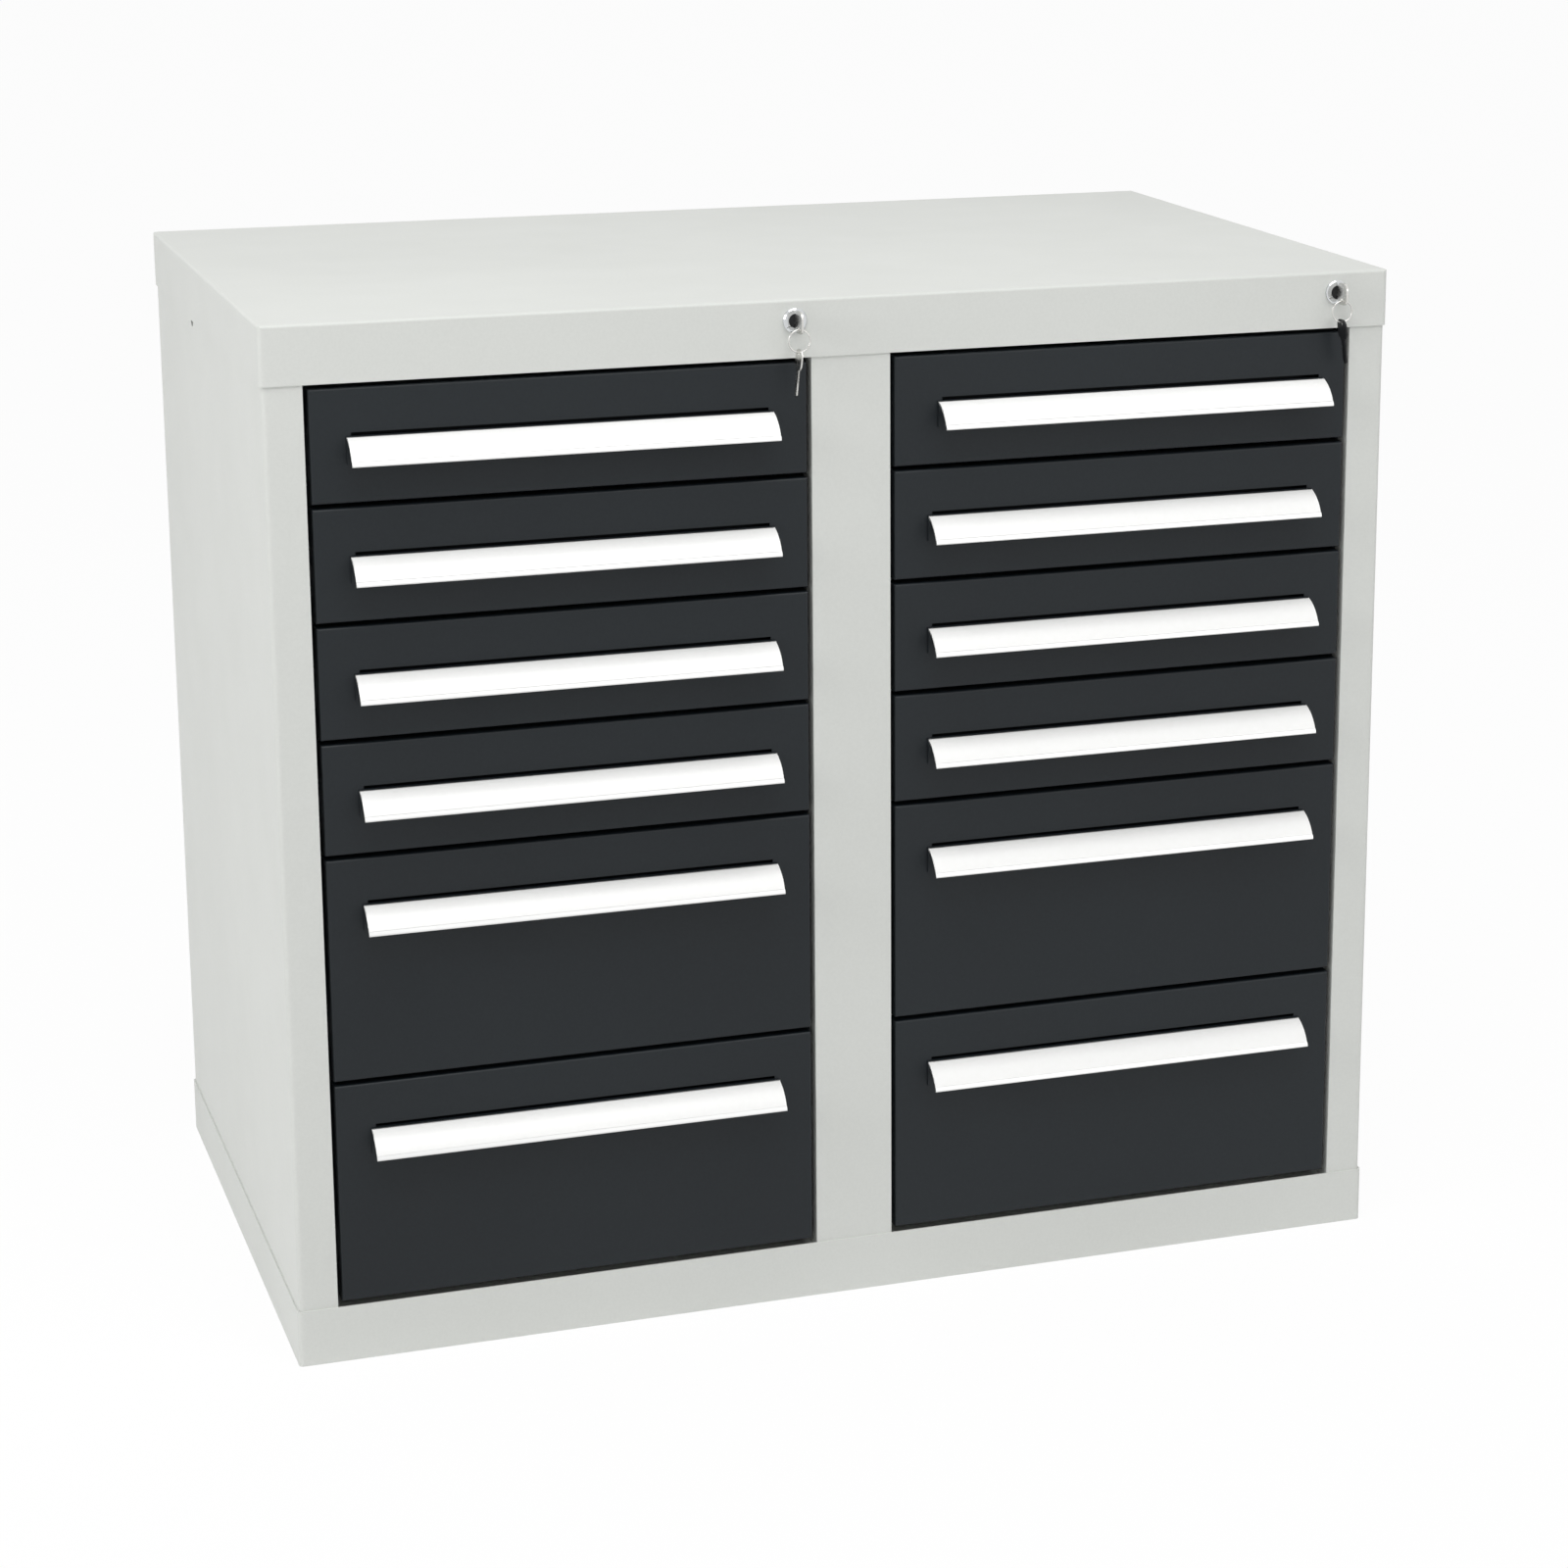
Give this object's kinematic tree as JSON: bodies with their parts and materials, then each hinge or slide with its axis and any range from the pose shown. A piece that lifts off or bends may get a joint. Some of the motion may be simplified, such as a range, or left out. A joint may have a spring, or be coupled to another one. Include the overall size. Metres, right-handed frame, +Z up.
{
  "type": "drawer cabinet",
  "caption": "Grey steel workshop cabinet with two banks of dark drawers on full-extension slides, white hood grips and central locks.",
  "frame": {"origin": "on the floor under the middle of the cabinet's box", "axes": "+Z up, -Y out of the drawer fronts, +X to the right along the front"},
  "size_m": [1, 0.623, 0.9],
  "materials": {
    "body_paint": "satin",
    "side_paint": "satin",
    "front_paint": "satin",
    "tray_paint": "satin",
    "grip_white": "satin",
    "zinc": "satin",
    "chrome": "polished",
    "nickel": "polished"
  },
  "bodies": {
    "root": {"casing": "side_paint", "top_cover": "body_paint", "base_plinth": "body_paint", "centre_partition": "body_paint", "cabinet_runners": "zinc", "lock_housings": "chrome"},
    "lock_plug_left": {"lock_plug_left": "nickel", "key_ring_left": "nickel"},
    "lock_bar_left": {"lock_bar_left": "zinc"},
    "lock_plug_right": {"lock_plug_right": "nickel", "key_ring_right": "nickel"},
    "lock_bar_right": {"lock_bar_right": "zinc"},
    "left_drawer_1": {"left_drawer_1_front": "front_paint", "left_drawer_1_tray": "tray_paint", "left_drawer_1_grip": "grip_white"},
    "left_drawer_1_slides": {"left_drawer_1_slides": "zinc"},
    "left_drawer_2": {"left_drawer_2_front": "front_paint", "left_drawer_2_tray": "tray_paint", "left_drawer_2_grip": "grip_white"},
    "left_drawer_2_slides": {"left_drawer_2_slides": "zinc"},
    "left_drawer_3": {"left_drawer_3_front": "front_paint", "left_drawer_3_tray": "tray_paint", "left_drawer_3_grip": "grip_white"},
    "left_drawer_3_slides": {"left_drawer_3_slides": "zinc"},
    "left_drawer_4": {"left_drawer_4_front": "front_paint", "left_drawer_4_tray": "tray_paint", "left_drawer_4_grip": "grip_white"},
    "left_drawer_4_slides": {"left_drawer_4_slides": "zinc"},
    "left_drawer_5": {"left_drawer_5_front": "front_paint", "left_drawer_5_tray": "tray_paint", "left_drawer_5_grip": "grip_white"},
    "left_drawer_5_slides": {"left_drawer_5_slides": "zinc"},
    "left_drawer_6": {"left_drawer_6_front": "front_paint", "left_drawer_6_tray": "tray_paint", "left_drawer_6_grip": "grip_white"},
    "left_drawer_6_slides": {"left_drawer_6_slides": "zinc"},
    "right_drawer_1": {"right_drawer_1_front": "front_paint", "right_drawer_1_tray": "tray_paint", "right_drawer_1_grip": "grip_white"},
    "right_drawer_1_slides": {"right_drawer_1_slides": "zinc"},
    "right_drawer_2": {"right_drawer_2_front": "front_paint", "right_drawer_2_tray": "tray_paint", "right_drawer_2_grip": "grip_white"},
    "right_drawer_2_slides": {"right_drawer_2_slides": "zinc"},
    "right_drawer_3": {"right_drawer_3_front": "front_paint", "right_drawer_3_tray": "tray_paint", "right_drawer_3_grip": "grip_white"},
    "right_drawer_3_slides": {"right_drawer_3_slides": "zinc"},
    "right_drawer_4": {"right_drawer_4_front": "front_paint", "right_drawer_4_tray": "tray_paint", "right_drawer_4_grip": "grip_white"},
    "right_drawer_4_slides": {"right_drawer_4_slides": "zinc"},
    "right_drawer_5": {"right_drawer_5_front": "front_paint", "right_drawer_5_tray": "tray_paint", "right_drawer_5_grip": "grip_white"},
    "right_drawer_5_slides": {"right_drawer_5_slides": "zinc"},
    "right_drawer_6": {"right_drawer_6_front": "front_paint", "right_drawer_6_tray": "tray_paint", "right_drawer_6_grip": "grip_white"},
    "right_drawer_6_slides": {"right_drawer_6_slides": "zinc"}
  },
  "joints": [
    {"name": "left_lock_turn", "type": "hinge", "parent": "root", "child": "lock_plug_left", "pos_m": [-0.05, -0.2885, 0.882], "axis": [0, 1, 0], "range_deg": [0, 90]},
    {"name": "left_bar_drop", "type": "slide", "parent": "root", "child": "lock_bar_left", "axis": [0, 0, -1], "range_m": [0, 0.01273]},
    {"name": "right_lock_turn", "type": "hinge", "parent": "root", "child": "lock_plug_right", "pos_m": [0.45, -0.2885, 0.882], "axis": [0, 1, 0], "range_deg": [0, 90]},
    {"name": "right_bar_drop", "type": "slide", "parent": "root", "child": "lock_bar_right", "axis": [0, 0, -1], "range_m": [0, 0.01273]},
    {"name": "left_drawer_1_open", "type": "slide", "parent": "root", "child": "left_drawer_1", "axis": [0, -1, 0], "range_m": [0, 0.5]},
    {"name": "left_drawer_1_slides_run", "type": "slide", "parent": "root", "child": "left_drawer_1_slides", "axis": [0, -1, 0], "range_m": [0, 0.25]},
    {"name": "left_drawer_2_open", "type": "slide", "parent": "root", "child": "left_drawer_2", "axis": [0, -1, 0], "range_m": [0, 0.5]},
    {"name": "left_drawer_2_slides_run", "type": "slide", "parent": "root", "child": "left_drawer_2_slides", "axis": [0, -1, 0], "range_m": [0, 0.25]},
    {"name": "left_drawer_3_open", "type": "slide", "parent": "root", "child": "left_drawer_3", "axis": [0, -1, 0], "range_m": [0, 0.5]},
    {"name": "left_drawer_3_slides_run", "type": "slide", "parent": "root", "child": "left_drawer_3_slides", "axis": [0, -1, 0], "range_m": [0, 0.25]},
    {"name": "left_drawer_4_open", "type": "slide", "parent": "root", "child": "left_drawer_4", "axis": [0, -1, 0], "range_m": [0, 0.5]},
    {"name": "left_drawer_4_slides_run", "type": "slide", "parent": "root", "child": "left_drawer_4_slides", "axis": [0, -1, 0], "range_m": [0, 0.25]},
    {"name": "left_drawer_5_open", "type": "slide", "parent": "root", "child": "left_drawer_5", "axis": [0, -1, 0], "range_m": [0, 0.5]},
    {"name": "left_drawer_5_slides_run", "type": "slide", "parent": "root", "child": "left_drawer_5_slides", "axis": [0, -1, 0], "range_m": [0, 0.25]},
    {"name": "left_drawer_6_open", "type": "slide", "parent": "root", "child": "left_drawer_6", "axis": [0, -1, 0], "range_m": [0, 0.5]},
    {"name": "left_drawer_6_slides_run", "type": "slide", "parent": "root", "child": "left_drawer_6_slides", "axis": [0, -1, 0], "range_m": [0, 0.25]},
    {"name": "right_drawer_1_open", "type": "slide", "parent": "root", "child": "right_drawer_1", "axis": [0, -1, 0], "range_m": [0, 0.5]},
    {"name": "right_drawer_1_slides_run", "type": "slide", "parent": "root", "child": "right_drawer_1_slides", "axis": [0, -1, 0], "range_m": [0, 0.25]},
    {"name": "right_drawer_2_open", "type": "slide", "parent": "root", "child": "right_drawer_2", "axis": [0, -1, 0], "range_m": [0, 0.5]},
    {"name": "right_drawer_2_slides_run", "type": "slide", "parent": "root", "child": "right_drawer_2_slides", "axis": [0, -1, 0], "range_m": [0, 0.25]},
    {"name": "right_drawer_3_open", "type": "slide", "parent": "root", "child": "right_drawer_3", "axis": [0, -1, 0], "range_m": [0, 0.5]},
    {"name": "right_drawer_3_slides_run", "type": "slide", "parent": "root", "child": "right_drawer_3_slides", "axis": [0, -1, 0], "range_m": [0, 0.25]},
    {"name": "right_drawer_4_open", "type": "slide", "parent": "root", "child": "right_drawer_4", "axis": [0, -1, 0], "range_m": [0, 0.5]},
    {"name": "right_drawer_4_slides_run", "type": "slide", "parent": "root", "child": "right_drawer_4_slides", "axis": [0, -1, 0], "range_m": [0, 0.25]},
    {"name": "right_drawer_5_open", "type": "slide", "parent": "root", "child": "right_drawer_5", "axis": [0, -1, 0], "range_m": [0, 0.5]},
    {"name": "right_drawer_5_slides_run", "type": "slide", "parent": "root", "child": "right_drawer_5_slides", "axis": [0, -1, 0], "range_m": [0, 0.25]},
    {"name": "right_drawer_6_open", "type": "slide", "parent": "root", "child": "right_drawer_6", "axis": [0, -1, 0], "range_m": [0, 0.5]},
    {"name": "right_drawer_6_slides_run", "type": "slide", "parent": "root", "child": "right_drawer_6_slides", "axis": [0, -1, 0], "range_m": [0, 0.25]}
  ],
  "couplings": [
    {"joint": "left_lock_turn", "follows": "left_bar_drop", "rad_per_m": 123.41},
    {"joint": "right_lock_turn", "follows": "right_bar_drop", "rad_per_m": 123.41},
    {"joint": "left_drawer_1_slides_run", "follows": "left_drawer_1_open", "ratio": 0.5},
    {"joint": "left_drawer_2_slides_run", "follows": "left_drawer_2_open", "ratio": 0.5},
    {"joint": "left_drawer_3_slides_run", "follows": "left_drawer_3_open", "ratio": 0.5},
    {"joint": "left_drawer_4_slides_run", "follows": "left_drawer_4_open", "ratio": 0.5},
    {"joint": "left_drawer_5_slides_run", "follows": "left_drawer_5_open", "ratio": 0.5},
    {"joint": "left_drawer_6_slides_run", "follows": "left_drawer_6_open", "ratio": 0.5},
    {"joint": "right_drawer_1_slides_run", "follows": "right_drawer_1_open", "ratio": 0.5},
    {"joint": "right_drawer_2_slides_run", "follows": "right_drawer_2_open", "ratio": 0.5},
    {"joint": "right_drawer_3_slides_run", "follows": "right_drawer_3_open", "ratio": 0.5},
    {"joint": "right_drawer_4_slides_run", "follows": "right_drawer_4_open", "ratio": 0.5},
    {"joint": "right_drawer_5_slides_run", "follows": "right_drawer_5_open", "ratio": 0.5},
    {"joint": "right_drawer_6_slides_run", "follows": "right_drawer_6_open", "ratio": 0.5}
  ]
}
